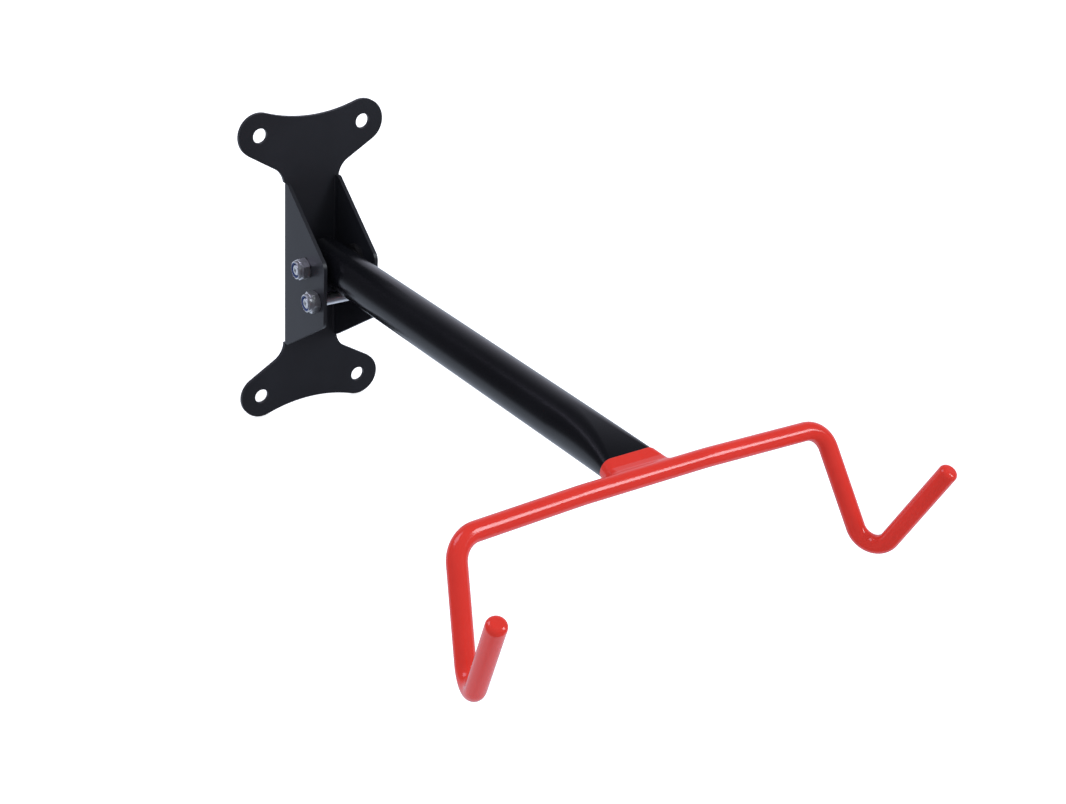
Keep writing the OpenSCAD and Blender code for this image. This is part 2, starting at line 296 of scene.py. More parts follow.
# %% Mix the finishes
bracket_paint = finish_material(
    "bracket paint", dark=(0.0135, 0.0142, 0.0185), light=(0.0175, 0.0185, 0.0240),
    rough=(0.36, 0.46), scale=1100, bump=0.35, depth=0.03 * MM,
)
arm_paint = finish_material(
    "arm paint", dark=(0.0030, 0.0032, 0.0044), light=(0.0045, 0.0048, 0.0062),
    rough=(0.17, 0.24), scale=700, bump=0.12, Specular_IOR_Level=0.46,
)
red_vinyl = finish_material(
    "red vinyl", dark=(0.72, 0.040, 0.027), light=(0.77, 0.045, 0.032),
    rough=(0.10, 0.17), scale=260, bump=0.10,
    Subsurface_Weight=0.08, Subsurface_Radius=(1.5 * MM, 0.4 * MM, 0.3 * MM), Subsurface_Scale=1.0,
)
zinc = finish_material(
    "zinc plate", dark=(0.86, 0.88, 0.90), light=(0.94, 0.95, 0.96),
    rough=(0.36, 0.42), scale=600, bump=0.05, patch=180, Metallic=1.0,
)
blue_nylon = finish_material(
    "blue nylon", dark=(0.022, 0.045, 0.15), light=(0.032, 0.062, 0.20),
    rough=(0.3, 0.42), scale=2200, bump=0.2,
)
black_nylon = finish_material(
    "black nylon", dark=(0.010, 0.010, 0.011), light=(0.014, 0.014, 0.015),
    rough=(0.45, 0.55), scale=1500, bump=0.2,
)
bare_steel = finish_material(
    "bare steel", dark=(0.40, 0.40, 0.41), light=(0.50, 0.50, 0.51),
    rough=(0.28, 0.42), scale=1300, bump=0.3, Metallic=1.0,
)
for material in (bracket_paint, arm_paint, red_vinyl, zinc, blue_nylon, black_nylon, bare_steel):
    print("finish:", material.name, "with", len(material.node_tree.nodes), "nodes")


# %% Paint the nodes that keep their construction
def paint_node(node, material):
    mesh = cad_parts[node].data
    mesh.materials.clear()
    mesh.materials.append(material)


for node, material in (
    ("spacer_left", black_nylon), ("spacer_right", black_nylon),
    ("pivot_sleeve", bare_steel),
):
    paint_node(node, material)
    print(node, "keeps its shape and gets", material.name)


# %% [markdown]
# ## The bracket
#
# The bracket is one pressing of 2.5 mm sheet.  Its shape is right as it is, but
# a sheared and painted edge is never sharp: the paint rounds it by a third of a
# millimetre, and that thin round is what catches the light.  So the node's mesh
# is copied, its doubled points are merged, flat faces are joined, and a bevel
# goes along every real edge.

# %% Round the edges of the bracket
def add_bevel(piece, name, width, segments, above):
    """A live bevel along the edges that turn more than an angle in degrees."""
    bevel = piece.modifiers.new(name, "BEVEL")
    bevel.width = width
    bevel.segments = segments
    bevel.limit_method = "ANGLE"
    bevel.angle_limit = math.radians(above)
    return bevel


def round_edges(name, node, material, width):
    """A copy of a node with every edge that turns more than 30 degrees rounded."""
    piece = bpy.data.objects.new(name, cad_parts[node].data.copy())
    bpy.context.scene.collection.objects.link(piece)
    with edit(piece) as work:
        bmesh.ops.remove_doubles(work, verts=work.verts, dist=1e-6)
        bmesh.ops.dissolve_limit(
            work, angle_limit=math.radians(0.5), verts=work.verts, edges=work.edges, delimit=set()
        )
    piece.data.name = name
    piece.data.materials.clear()
    piece.data.materials.append(material)
    if "custom_normal" in piece.data.attributes:
        piece.data.attributes.remove(piece.data.attributes["custom_normal"])
    piece.data.shade_smooth()
    bevel = add_bevel(piece, "rounded edges", width, segments=3, above=30)
    bevel.harden_normals = True
    return piece


bracket = round_edges("bracket_pressing", "wall_bracket", bracket_paint, 0.35 * MM)
settle(bracket, "bracket", "bracket_paint", "wall_bracket")


# %% [markdown]
# ## The arm
#
# The arm is a drawn tube, pressed flat at its end.  A press doesn't stretch the
# wall, so the way round the tube stays the same all the way: as the height
# falls, the width grows.  Each section is two flat sides and two half circles,
# and a sweep of such sections from round to flat is the whole shape.

# %% Shape the pressed tube
TUBE_SIDES = 128
CRUSH_ROWS = 61
TUBE_LIP = 0.25 * MM


def flat_half(h):
    """Half the width of the tube where it is pressed to half the height h."""
    return TUBE_R * math.pi / 2 - (math.pi / 2 - 1) * h


def pressed_height(y):
    """Half the height of the tube at a place along the arm, from round to pressed flat."""
    share = np.clip((CRUSH_START - y) / CRUSH_LEN, 0, 1)
    return TUBE_R + (FLAT_H - TUBE_R) * share**2


def tube_section(y, inset, around):
    """A ring of points across the tube, moved in from its outer face by an inset."""
    h = pressed_height(y)
    side, r = flat_half(h) - h, h - inset
    points = []
    for i in range(around):
        angle = 2 * math.pi * (i + 0.5) / around
        c, s = math.cos(angle), math.sin(angle)
        points.append((math.copysign(side, c) + r * c, y, ARM_Z + r * s))
    return points


def drawn_tube():
    """The tube's skin: over the lip of its tail, along the outside, and back along the bore."""
    crush = np.linspace(CRUSH_START, FLAT_START, CRUSH_ROWS)
    outside = [TUBE_TAIL - TUBE_LIP, *crush, TUBE_END]
    bore = [TUBE_END, *reversed(crush), TUBE_TAIL]
    rows = [tube_section(TUBE_TAIL, TUBE_LIP, TUBE_SIDES)]
    rows += [tube_section(y, 0, TUBE_SIDES) for y in outside]
    rows += [tube_section(y, TUBE_WALL, TUBE_SIDES) for y in bore]
    points = [p for row in rows for p in row]
    faces = ring_faces(len(rows), TUBE_SIDES, closed_rows=True)
    return make_piece("arm_tube_drawn", points, faces, arm_paint)


arm_tube = drawn_tube()
face_outwards(arm_tube)
settle(arm_tube, "arm", "arm_paint", "arm_tube")


# %% [markdown]
# ## The red skin
#
# The rod with its hooks and the last centimetre of the arm are dipped
# together in liquid vinyl, which rounds over every corner and fills the hollows
# beside the weld.  The shape is therefore described as a distance: how far is a
# point from the rod, how far from the flat end, and a soft minimum of the two,
# which is what a liquid skin does where they meet.
#
# First a rough body is grown.  Geometry Nodes carry a circle along the centre
# line, after a Fillet Curve node has rounded each corner of it to its radius.

# %% Name the bends of the rod
BAR_STRAIGHT = 42 * MM
BAR_HALF = 122.5 * MM
BAR_SWEEP = 4 * MM
HOOK_SPLAY = math.radians(19)
VEE_REACH = 40.5 * MM
VEE_DROP = 73 * MM
TIP_REACH = 36 * MM
TIP_RISE = 71.5 * MM
SWEEP_BEND = 200 * MM
CORNER_BEND = 15 * MM
VEE_BEND = 12 * MM
AHEAD = Vector((math.sin(HOOK_SPLAY), -math.cos(HOOK_SPLAY), 0))

bar_mid = Vector((BAR_STRAIGHT, BAR_Y, ARM_Z))
bar_corner = Vector((BAR_HALF, BAR_Y - BAR_SWEEP, ARM_Z))
vee_point = bar_corner + VEE_REACH * AHEAD - Vector((0, 0, VEE_DROP))
hook_tip = vee_point + TIP_REACH * AHEAD + Vector((0, 0, TIP_RISE))

right_half = [
    (bar_mid, SWEEP_BEND), (bar_corner, CORNER_BEND), (vee_point, VEE_BEND), (hook_tip, 0),
]
left_half = [(Vector((-p.x, p.y, p.z)), bend) for p, bend in reversed(right_half)]
ROD_LINE = left_half + right_half
print("the rod turns at", len(ROD_LINE) - 2, "points")


# %% Helpers for Geometry Nodes
def new_tree(name, inputs):
    tree = bpy.data.node_groups.new(name, "GeometryNodeTree")
    tree.interface.new_socket("Geometry", in_out="INPUT", socket_type="NodeSocketGeometry")
    for label, value in inputs:
        kind = "NodeSocketInt" if isinstance(value, int) else "NodeSocketFloat"
        socket = tree.interface.new_socket(label, in_out="INPUT", socket_type=kind)
        socket.default_value = value
    tree.interface.new_socket("Material", in_out="INPUT", socket_type="NodeSocketMaterial")
    tree.interface.new_socket("Geometry", in_out="OUTPUT", socket_type="NodeSocketGeometry")
    return tree, tree.nodes.new("NodeGroupInput"), tree.nodes.new("NodeGroupOutput")


def end_tree(tree, geometry, given, result):
    """Every tree ends in plain geometry with its material."""
    plain = add_node(tree, "GeometryNodeRealizeInstances", Geometry=geometry)
    dressed = add_node(
        tree, "GeometryNodeSetMaterial",
        Geometry=plain.outputs["Geometry"], Material=given.outputs["Material"],
    )
    fill_inputs(tree, result, Geometry=dressed.outputs["Geometry"])


def grow(name, tree, seed, material, **values):
    """Runs a tree on the seed's data once and keeps the result as a plain mesh object."""
    holder = bpy.data.objects.new(name, seed)
    bpy.context.scene.collection.objects.link(holder)
    shape = holder.modifiers.new("shape", "NODES")
    shape.node_group = tree
    given = {label.replace("_", " "): value for label, value in values.items()}
    given["Material"] = material
    for item in tree.interface.items_tree:
        if item.item_type == "SOCKET" and item.in_out == "INPUT" and item.name in given:
            shape[item.identifier] = given[item.name]
    seen = holder.evaluated_get(bpy.context.evaluated_depsgraph_get())
    mesh = bpy.data.meshes.new_from_object(seen)
    bpy.data.objects.remove(holder)
    mesh.name = name
    piece = bpy.data.objects.new(name, mesh)
    bpy.context.scene.collection.objects.link(piece)
    print(f"{tree.name} grew {name} with {len(mesh.polygons)} faces")
    return piece


# %% Sweep the rod
def build_sweep():
    tree, given, result = new_tree(
        "Rod through its bends", [("Rod radius", 5.5 * MM), ("Sides", 32), ("Steps", 16)]
    )
    bend = add_node(tree, "GeometryNodeInputRadius")
    rounded = add_node(
        tree, "GeometryNodeFilletCurve", {"mode": "POLY"},
        Curve=given.outputs["Geometry"], Radius=bend.outputs["Radius"], Count=given.outputs["Steps"],
    )
    even = add_node(tree, "GeometryNodeSetCurveRadius", Curve=rounded.outputs["Curve"], Radius=1.0)
    circle = add_node(
        tree, "GeometryNodeCurvePrimitiveCircle", {"mode": "RADIUS"},
        Resolution=given.outputs["Sides"], Radius=given.outputs["Rod radius"],
    )
    swept = add_node(
        tree, "GeometryNodeCurveToMesh",
        Curve=even.outputs["Curve"], Profile_Curve=circle.outputs["Curve"], Fill_Caps=True,
    )
    end_tree(tree, swept.outputs["Mesh"], given, result)
    return tree


def rod_curve(run_on):
    """The centre line as a curve; each point's radius says how its corner is rounded."""
    line = bpy.data.curves.new("rod line", "CURVE")
    line.dimensions = "3D"
    spline = line.splines.new("POLY")
    spline.points.add(len(ROD_LINE) - 1)
    for point, (place, bend) in zip(spline.points, ROD_LINE):
        point.co = (*place, 1)
        point.radius = bend
    for end, before in [(0, 1), (-1, -2)]:
        outwards = (ROD_LINE[end][0] - ROD_LINE[before][0]).normalized()
        spline.points[end].co = (*(ROD_LINE[end][0] + run_on * outwards), 1)
    return line


ROD_RUN_ON = 1.2 * MM
END_REACH = 3.2 * MM
END_ROUND = 3 * MM

sweep_tree = build_sweep()
rod = grow("hook_rod_bent", sweep_tree, rod_curve(ROD_RUN_ON), bare_steel, Rod_radius=ROD_R)
face_outwards(rod)
settle(rod, "arm", "bare_steel", "hook_rod")
skin = grow("red_skin", sweep_tree, rod_curve(END_REACH), red_vinyl, Rod_radius=COAT_R)


# %% [markdown]
# The swept rod and a rough sleeve round the flat end are melted together by a
# voxel Remesh.  Then every point is moved onto the exact surface, where the
# soft distance is nought.  That keeps an even mesh of small squares, and gives
# a highlight that runs on without a break from the rod over the weld.

# %% Measure the distance to a stretch of the rod
def to_segment(p, a, b):
    """Distance of each point in p from the straight line between a and b."""
    ab = b - a
    share = np.clip((p - a) @ ab / (ab @ ab), 0, 1)
    return np.linalg.norm(p - a - share[:, None] * ab, axis=1)


def to_blunt_end(p, a, b):
    """The same for the stretch that ends at b, where the skin closes in a flat end with a round rim."""
    along = (b - a) / np.linalg.norm(b - a)
    past = (p - b) @ along
    aside = np.linalg.norm(p - b - past[:, None] * along, axis=1)
    out = np.maximum(aside - (COAT_R - END_ROUND), 0)
    over = np.maximum(past - (END_REACH - END_ROUND), 0)
    return np.where(past > -2 * COAT_R, np.hypot(out, over) + COAT_R - END_ROUND, to_segment(p, a, b))


def to_arc(p, centre, start, along, bend, turn):
    """Distance from an arc that begins at centre + bend * start and sets off along."""
    q = p - centre
    x, y = q @ start, q @ along
    angle = np.clip(np.arctan2(y, x), 0, turn)
    angle = np.where(np.arctan2(y, x) < turn / 2 - math.pi, turn, angle)
    on_arc = bend * (np.cos(angle)[:, None] * start + np.sin(angle)[:, None] * along)
    return np.linalg.norm(q - on_arc, axis=1)


# %% Measure the distance to the whole rod
def rod_stretches():
    """The centre line as straight stretches and arcs, each a function of points."""
    parts = []
    points = [np.array(p) for p, bend in ROD_LINE]
    bends = [bend for p, bend in ROD_LINE]
    reach = [0.0] * len(points)
    for i in range(1, len(points) - 1):
        back = points[i - 1] - points[i]
        forth = points[i + 1] - points[i]
        back, forth = back / np.linalg.norm(back), forth / np.linalg.norm(forth)
        turn = math.pi - math.acos(back @ forth)
        reach[i] = bends[i] * math.tan(turn / 2)
        middle = (back + forth) / np.linalg.norm(back + forth)
        centre = points[i] + bends[i] / math.cos(turn / 2) * middle
        start = (points[i] + reach[i] * back - centre) / bends[i]
        parts.append((to_arc, (centre, start, -back, bends[i], turn)))
    for i in range(len(points) - 1):
        step = points[i + 1] - points[i]
        step = step / np.linalg.norm(step)
        ends = (points[i] + reach[i] * step, points[i + 1] - reach[i + 1] * step)
        if i == 0:
            parts.append((to_blunt_end, (ends[1], ends[0])))
        elif i == len(points) - 2:
            parts.append((to_blunt_end, ends))
        else:
            parts.append((to_segment, ends))
    return parts


STRETCHES = rod_stretches()
print("the rod's centre line has", len(STRETCHES), "stretches")


def rod_distance(p):
    """Distance of each point from the skin over the rod."""
    return np.min([measure(p, *given) for measure, given in STRETCHES], axis=0) - COAT_R


# %% Measure the soft distance to the whole skin
ROD_FILLET = 1.6 * MM


def flat_distance(p):
    """Distance from the pressed end of the tube with its skin."""
    h = pressed_height(p[:, 1])
    across = np.maximum(np.abs(p[:, 0]) - (flat_half(h) - h), 0)
    round_it = np.hypot(across, p[:, 2] - ARM_Z) - h
    low, high = BAR_Y, DIP_LINE - COAT_T
    along = np.abs(p[:, 1] - (low + high) / 2) - (high - low) / 2
    outside = np.hypot(np.maximum(round_it, 0), np.maximum(along, 0))
    return np.minimum(np.maximum(round_it, along), 0) + outside - COAT_T


def soft_minimum(a, b, fillet):
    """The smaller of two distances, with the corner between them filled."""
    share = np.clip(0.5 + 0.5 * (a - b) / fillet, 0, 1)
    return a * (1 - share) + b * share - fillet * share * (1 - share)


def skin_distance(p):
    """Soft distance of each point from the surface of the skin."""
    return soft_minimum(flat_distance(p), rod_distance(p), ROD_FILLET)


def slope_of(distance, p, step=0.01 * MM):
    """The direction in which the distance grows fastest, at each point."""
    slope = np.empty_like(p)
    for axis in range(3):
        nudge = np.zeros(3)
        nudge[axis] = step
        slope[:, axis] = distance(p + nudge) - distance(p - nudge)
    return slope / np.linalg.norm(slope, axis=1)[:, None]


# %% Melt the rough bodies together and settle them on the surface
VOXEL = 0.55 * MM


def rough_sleeve():
    """A closed sleeve round the flat end, from just inside the dip line to the middle of the rod."""
    around = 64
    stations = (DIP_LINE - 0.1 * MM, BAR_Y + 12 * MM, BAR_Y)
    rows = [tube_section(y, -COAT_T, around) for y in stations]
    points = [p for row in rows for p in row]
    faces = ring_faces(len(rows), around)
    faces += [tuple(range(around)), tuple(2 * around + i for i in reversed(range(around)))]
    return points, faces


def melt_together(piece, points, faces, voxel):
    """Adds a closed body to a piece and turns both into one skin of small squares."""
    with edit(piece) as work:
        added = [work.verts.new(p) for p in points]
        for face in faces:
            work.faces.new([added[i] for i in face])
        bmesh.ops.recalc_face_normals(work, faces=work.faces)
    melt = piece.modifiers.new("melt", "REMESH")
    melt.mode = "VOXEL"
    melt.voxel_size = voxel
    seen = piece.evaluated_get(bpy.context.evaluated_depsgraph_get())
    melted = bpy.data.meshes.new_from_object(seen)
    piece.modifiers.clear()
    piece.data = melted


def settle_on(piece, distance, rounds=6):
    """Moves every point onto the surface where the distance is nought, and sets its true normal."""
    mesh = piece.data
    flat = np.empty(len(mesh.vertices) * 3)
    mesh.vertices.foreach_get("co", flat)
    points = flat.reshape(-1, 3)
    for _ in range(rounds):
        points = points - distance(points)[:, None] * slope_of(distance, points)
    mesh.vertices.foreach_set("co", points.ravel())
    mesh.shade_smooth()
    mesh.update()
    mesh.normals_split_custom_set_from_vertices(slope_of(distance, points))
    print("farthest point from the surface:", round(float(np.abs(distance(points)).max()) / MM, 4), "mm")


melt_together(skin, *rough_sleeve(), VOXEL)
skin.data.name = "red_skin"
skin.data.materials.clear()
skin.data.materials.append(red_vinyl)
settle_on(skin, skin_distance)
settle(skin, "arm", "red_vinyl", "dip_coat")


# %% [markdown]
# ## Bolts
#
# Both bolts are M8 with a plain shank and a rolled thread at the end.  A
# thread is a rule, so Geometry Nodes make it: a flat grid is wrapped round the
# axis, and the radius of each point comes from how far along and how far round
# it is.  The same rule turns the shank into the thread, chamfers the tip and
# leaves the small dimple in the end face.

# %% Build the shank
def build_shank():
    tree, given, result = new_tree("Threaded shank", [
        ("Shank radius", 4 * MM), ("Root radius", 3.35 * MM), ("Pitch", 1.25 * MM),
        ("Length", 45 * MM), ("Thread start", 23 * MM), ("Tip radius", 3.1 * MM),
        ("Dimple", 0.5 * MM), ("Rows", 400), ("Sides", 48),
    ])
    value = given.outputs
    sides = calculate(tree, "ADD", value["Sides"], 1)
    grid = add_node(
        tree, "GeometryNodeMeshGrid", Size_X=1.0, Size_Y=1.0, Vertices_X=value["Rows"], Vertices_Y=sides
    )
    position = add_node(tree, "GeometryNodeInputPosition")
    place = add_node(tree, "ShaderNodeSeparateXYZ", Vector=position.outputs["Position"])

    # the first nine tenths of the rows run along the bolt and the rest close its end
    side_share = 0.9
    row = calculate(tree, "DIVIDE", calculate(tree, "ADD", place.outputs["X"], 0.5), side_share)
    height = calculate(tree, "MULTIPLY", calculate(tree, "MINIMUM", row, 1.0), value["Length"])
    to_centre = calculate(tree, "SUBTRACT", 1 / side_share, row)
    closing = calculate(tree, "MULTIPLY", to_centre, 1 / (1 / side_share - 1), clamp=True)
    turn = calculate(tree, "ADD", place.outputs["Y"], 0.5)

    # the thread goes up and down once in each pitch, and on by one pitch in each turn
    pitches = calculate(tree, "DIVIDE", height, value["Pitch"])
    wave = calculate(tree, "FRACT", calculate(tree, "SUBTRACT", pitches, turn))
    flank = calculate(tree, "ABSOLUTE", calculate(tree, "SUBTRACT", wave, 0.5))
    steepness, flat_root = 2.7, 0.2
    share = calculate(tree, "MULTIPLY_ADD", flank, steepness, -flat_root, clamp=True)
    depth = calculate(tree, "SUBTRACT", value["Shank radius"], value["Root radius"])
    thread = calculate(tree, "MULTIPLY_ADD", share, depth, value["Root radius"])

    # it runs out into the plain shank, and the tip has a chamfer of 45 degrees
    past = calculate(tree, "SUBTRACT", height, value["Thread start"])
    run_out_slope = -0.5
    run_out = calculate(tree, "MULTIPLY_ADD", past, run_out_slope, value["Shank radius"])
    body = calculate(tree, "MINIMUM", value["Shank radius"], calculate(tree, "MAXIMUM", thread, run_out))
    tip = calculate(tree, "ADD", value["Tip radius"], calculate(tree, "SUBTRACT", value["Length"], height))
    radius = calculate(tree, "MULTIPLY", calculate(tree, "MINIMUM", body, tip), closing)

    dimple_share = 0.625
    hollow = calculate(tree, "MULTIPLY_ADD", closing, -1 / dimple_share, 1.0, clamp=True)
    end = calculate(tree, "SUBTRACT", height, calculate(tree, "MULTIPLY", hollow, value["Dimple"]))
    angle = calculate(tree, "MULTIPLY", turn, 2 * math.pi)
    wrapped = add_node(
        tree, "ShaderNodeCombineXYZ", X=end,
        Y=calculate(tree, "MULTIPLY", radius, calculate(tree, "COSINE", angle)),
        Z=calculate(tree, "MULTIPLY", radius, calculate(tree, "SINE", angle)),
    )
    moved = add_node(
        tree, "GeometryNodeSetPosition", Geometry=grid.outputs["Mesh"], Position=wrapped.outputs["Vector"]
    )
    end_tree(tree, moved.outputs["Geometry"], given, result)
    return tree


shank_tree = build_shank()
print("the shank's rule has", len(shank_tree.nodes), "nodes")


# %% [markdown]
# Heads and nuts are turned: rings round one axis, each at its height, where a
# ring is either a circle or the hexagon.  Where a hexagon meets a turned face,
# its height changes towards the corners, which is the chamfer of 30 degrees.

# %% Turn hexagons and circles into solids
HEX_AF = 13 * MM
FACE_R = 0.48 * HEX_AF


def hex_radius(angle):
    return HEX_AF / 2 / math.cos(angle % (math.pi / 3) - math.pi / 6)


def circle_ring(height, radius):
    return lambda angle: (height, radius)


def hex_ring(height, tilt):
    """A hexagon whose height rises outwards at 30 degrees with a tilt of 1, and falls with -1."""
    def corner_or_side(angle):
        radius = hex_radius(angle)
        return height + tilt * (radius - FACE_R) * math.tan(math.pi / 6), radius

    return corner_or_side


def turned(name, rings, around, material, closed=False):
    """A skin over rings round the X axis; a closed one joins the last ring to the first."""
    points = []
    for ring in rings:
        for i in range(around):
            angle = 2 * math.pi * i / around
            height, radius = ring(angle)
            points.append((height, radius * math.cos(angle), radius * math.sin(angle)))
    return make_piece(name, points, ring_faces(len(rings), around, closed), material)


def place_on_axis(piece, x, y, z, towards, turn=0.0):
    """Stands a piece made round the X axis on its place, pointing to +X or to -X."""
    spin = Matrix.Rotation(turn, 4, "X")
    flip = Matrix.Diagonal((towards, 1, 1, 1))
    piece.data.transform(Matrix.Translation((x, y, z)) @ flip @ spin)
    face_outwards(piece)


def join_into(piece, other):
    """Adds another piece's mesh to this one and closes the seam between them."""
    with edit(piece) as work:
        work.from_mesh(other.data)
        bmesh.ops.remove_doubles(work, verts=work.verts, dist=0.004 * MM)
        bmesh.ops.recalc_face_normals(work, faces=work.faces)
    bpy.data.objects.remove(other)
    piece.data.shade_smooth()
    piece.data.set_sharp_from_angle(angle=math.radians(40))


# %% Make both bolts
BOLT_R = 4 * MM
HEAD_H = 5.3 * MM
WASHER_H = 0.25 * MM
DISH = 0.3 * MM
POLE_R = 0.02 * MM
THREAD_LEN = 12 * MM
LIP = 0.4 * MM
BOLT_SIDES = 48


def head_rings():
    """From the shank out over the washer face, up the six sides and in over the dished top."""
    return [
        circle_ring(0, BOLT_R), circle_ring(0, FACE_R - 0.1 * MM), hex_ring(WASHER_H, 0),
        hex_ring(HEAD_H, -1), circle_ring(HEAD_H, FACE_R), circle_ring(HEAD_H, FACE_R - 0.8 * MM),
        circle_ring(HEAD_H - DISH, FACE_R - 1.3 * MM), circle_ring(HEAD_H - DISH, POLE_R),
    ]


def make_bolt(name, node, nut):
    """A bolt whose tip comes up to the lip of its nut."""
    y, z = centre_of(node).yz
    under_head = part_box(node)[1].x - HEAD_H
    length = under_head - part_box(nut)[0].x - LIP
    shank = grow(
        name, shank_tree, bpy.data.meshes.new("empty"), zinc,
        Shank_radius=BOLT_R, Length=length, Sides=BOLT_SIDES, Thread_start=length - THREAD_LEN,
    )
    shank.data.transform(Matrix.Diagonal((-1, 1, 1, 1)))
    head = turned(name + " head", head_rings(), BOLT_SIDES, zinc)
    join_into(shank, head)
    place_on_axis(shank, under_head, y, z, 1)
    add_bevel(shank, "soft edges", 0.12 * MM, segments=2, above=25)
    settle(shank, "bracket", "zinc", node)


make_bolt("pivot_bolt_threaded", "pivot_bolt", "pivot_nut")
make_bolt("stop_bolt_threaded", "stop_bolt", "stop_nut")


# %% [markdown]
# ## Lock nuts
#
# A lock nut is a hexagon with a thin collar rolled over a nylon ring, which
# grips the thread.  The ring is blue and shows inside the collar.

# %% Make both nuts with their rings
NUT_HEX_H = 5.6 * MM
NUT_H = 8 * MM
COLLAR_R = 0.46 * HEX_AF
BORE_R = BOLT_R + 0.05 * MM
POCKET_R = 5.29 * MM
POCKET_LOW = 5.9 * MM
BORE_CHAMFER = 0.35 * MM
COLLAR_FOOT = 0.2 * MM
ROLLED_RIM = [(-0.8 * MM, 0), (-0.35 * MM, -0.15 * MM), (-0.05 * MM, -0.5 * MM)]
RING_GAP = 0.01 * MM
NUT_SIDES = 96


def nut_rings():
    """From the bore over the bearing face, up the outside, over the rim and into the pocket."""
    lip_r = POCKET_R - 0.25 * MM
    return [
        circle_ring(BORE_CHAMFER, BORE_R), circle_ring(0, BORE_R + BORE_CHAMFER),
        circle_ring(0, FACE_R), hex_ring(0, 1), hex_ring(NUT_HEX_H, -1),
        circle_ring(NUT_HEX_H, FACE_R), circle_ring(NUT_HEX_H, COLLAR_R + COLLAR_FOOT),
        circle_ring(NUT_HEX_H + COLLAR_FOOT, COLLAR_R),
        *[circle_ring(NUT_H + up, COLLAR_R + out) for up, out in ROLLED_RIM],
        circle_ring(NUT_H, POCKET_R + 0.1 * MM), circle_ring(NUT_H - 0.1 * MM, lip_r),
        circle_ring(NUT_H - LIP, lip_r), circle_ring(NUT_H - LIP, POCKET_R),
        circle_ring(POCKET_LOW, POCKET_R), circle_ring(POCKET_LOW, BORE_R),
    ]


def nylon_rings():
    """A ring that fills the pocket, with its upper inner edge rounded."""
    inner, outer, top = BORE_R, POCKET_R - RING_GAP, NUT_H - LIP - RING_GAP
    return [
        circle_ring(POCKET_LOW, inner), circle_ring(POCKET_LOW, outer), circle_ring(top, outer),
        circle_ring(top, inner + 0.5 * MM), circle_ring(top - 0.12 * MM, inner + 0.12 * MM),
        circle_ring(top - 0.4 * MM, inner),
    ]


def make_nut(name, node, turn):
    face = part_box(node)[1].x
    y, z = centre_of(node).yz
    nut = turned(name + "_lock_nut", nut_rings(), NUT_SIDES, zinc, closed=True)
    place_on_axis(nut, face, y, z, -1, turn)
    add_bevel(nut, "soft edges", 0.1 * MM, segments=2, above=25)
    settle(nut, "bracket", "zinc", node)
    ring = turned(name + "_nylon_ring", nylon_rings(), NUT_SIDES, blue_nylon, closed=True)
    place_on_axis(ring, face, y, z, -1)
    settle(ring, "bracket", "blue_nylon", node + "_ring")


make_nut("pivot", "pivot_nut", turn=math.radians(30))
make_nut("stop", "stop_nut", turn=0)


# %% [markdown]
# ## The weld
#
# One thin bead runs along the upper edge of the arm's flat end and one along
# the lower edge, where they meet the rod.  Each is thickest in the middle and
# runs out towards both sides, and the red skin covers both.

# %% Lay both beads
BEAD_R = 1 * MM
BEAD_IN = 1 * MM
BEAD_HALF = flat_half(FLAT_H) - FLAT_H
BEAD_SIDES = 24


def bead_rings(rings=25):
    shares = [math.sin(math.pi * (k / (rings - 1) - 0.5)) for k in range(rings)]
    return [circle_ring(BEAD_HALF * share, BEAD_R * math.sqrt(max(1 - share**4, 0))) for share in shares]


def lay_bead(name, rise):
    bead = turned(name, bead_rings(), BEAD_SIDES, bare_steel)
    place_on_axis(bead, 0, TUBE_END - BEAD_IN, ARM_Z + rise, 1)
    return bead


weld = lay_bead("weld_beads", FLAT_H - BEAD_IN)
join_into(weld, lay_bead("lower bead", BEAD_IN - FLAT_H))
settle(weld, "arm", "bare_steel", "rod_weld")


# %% [markdown]
# ## Camera
#
# The rack is seen from its left, a little above, through a long lens.  The
# camera circles a point on the arm at a given azimuth, elevation and distance,
# and is rolled a few degrees.

# %% Place the camera
AZIMUTH = math.radians(-37.11)
ELEVATION = math.radians(26.36)
ROLL = math.radians(3.87)
DISTANCE = 1111 * MM
LOOK_AT = Vector((44.0, -199.4, -29.0)) * MM

back = Vector((
    math.sin(AZIMUTH) * math.cos(ELEVATION),
    -math.cos(AZIMUTH) * math.cos(ELEVATION),
    math.sin(ELEVATION),
))
camera_data = bpy.data.cameras.new("camera")
camera_data.sensor_width = 36
camera_data.lens = 61.5
camera = bpy.data.objects.new("camera", camera_data)
bpy.context.scene.collection.objects.link(camera)
upright = back.to_track_quat("Z", "Y").to_matrix().to_4x4()
camera.matrix_world = Matrix.Translation(LOOK_AT + back * DISTANCE) @ upright @ Matrix.Rotation(ROLL, 4, "Z")
bpy.context.scene.camera = camera
print("camera at", [round(c, 3) for c in camera.matrix_world.translation])


# %% [markdown]
# ## Studio
#
# A white table runs out of view on all sides.  It shows as plain white and takes
# the faint shadow.  Behind and below the rack everything is pale, and in front
# of it the room is dark but for one tall soft lamp on the right.  A second lamp
# hangs high behind the rack on its left.  Glossy paint shows just that: a black
# middle with pale edges, and one clean line of light along the rod.

# %% Lay the table
TABLE_DROP = 0.5 * MM
TABLE_HALF = 6.0
TABLE_GLOW = 0.65


def join_shaders(tree, kind, *sources):
    """A node that adds or mixes shaders, whose inputs go by their order."""
    node = add_node(tree, kind)
    for socket, source in zip(node.inputs, sources):
        tree.links.new(source, socket)
    return node.outputs["Shader"]


